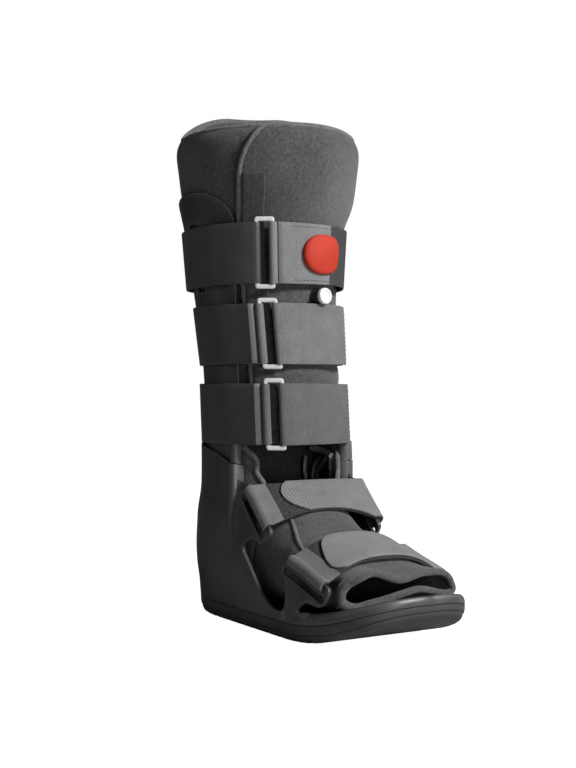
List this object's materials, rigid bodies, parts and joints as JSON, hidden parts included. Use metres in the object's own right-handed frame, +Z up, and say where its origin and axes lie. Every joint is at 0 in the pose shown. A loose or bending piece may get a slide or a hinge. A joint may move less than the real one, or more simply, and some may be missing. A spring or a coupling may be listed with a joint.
{
  "type": "medical walking boot",
  "caption": "Tall padded walking boot with a rocker sole, plastic foot shell and calf uprights, ringed wrap straps, a red pump bulb and an air valve",
  "frame": {"origin": "on the floor under the middle of the sole's flat stretch, on the boot's mid-plane", "axes": "+Z up the leg, -Y towards the toes, +X across the boot towards the side away from the rings"},
  "size_m": [0.1596, 0.3207, 0.452],
  "materials": {
    "sole_rubber": "matt black moulded rubber",
    "shell_plastic": "satin black moulded plastic",
    "liner_fabric": "dark grey heathered loop fabric over foam",
    "hook_tape": "dark woven hook tape",
    "webbing": "grey brushed loop webbing",
    "ring_plastic": "grey moulded plastic",
    "pump_rubber": "smooth red rubber",
    "valve_black": "black moulded plastic",
    "valve_white": "white moulded plastic"
  },
  "bodies": {
    "root": {"outsole": "sole_rubber", "foot_shell": "shell_plastic", "upright_left": "shell_plastic", "upright_right": "shell_plastic", "leg_liner": "liner_fabric", "foot_liner": "liner_fabric", "hook_strip": "hook_tape", "leg_strap_upper": "webbing", "strap_ring_upper": "ring_plastic", "leg_strap_middle": "webbing", "strap_ring_middle": "ring_plastic", "leg_strap_lower": "webbing", "strap_ring_lower": "ring_plastic", "foot_strap_rear": "webbing", "foot_strap_front": "webbing", "pump_bulb": "pump_rubber", "valve_body": "valve_black", "valve_cap": "valve_white"}
  },
  "joints": []
}
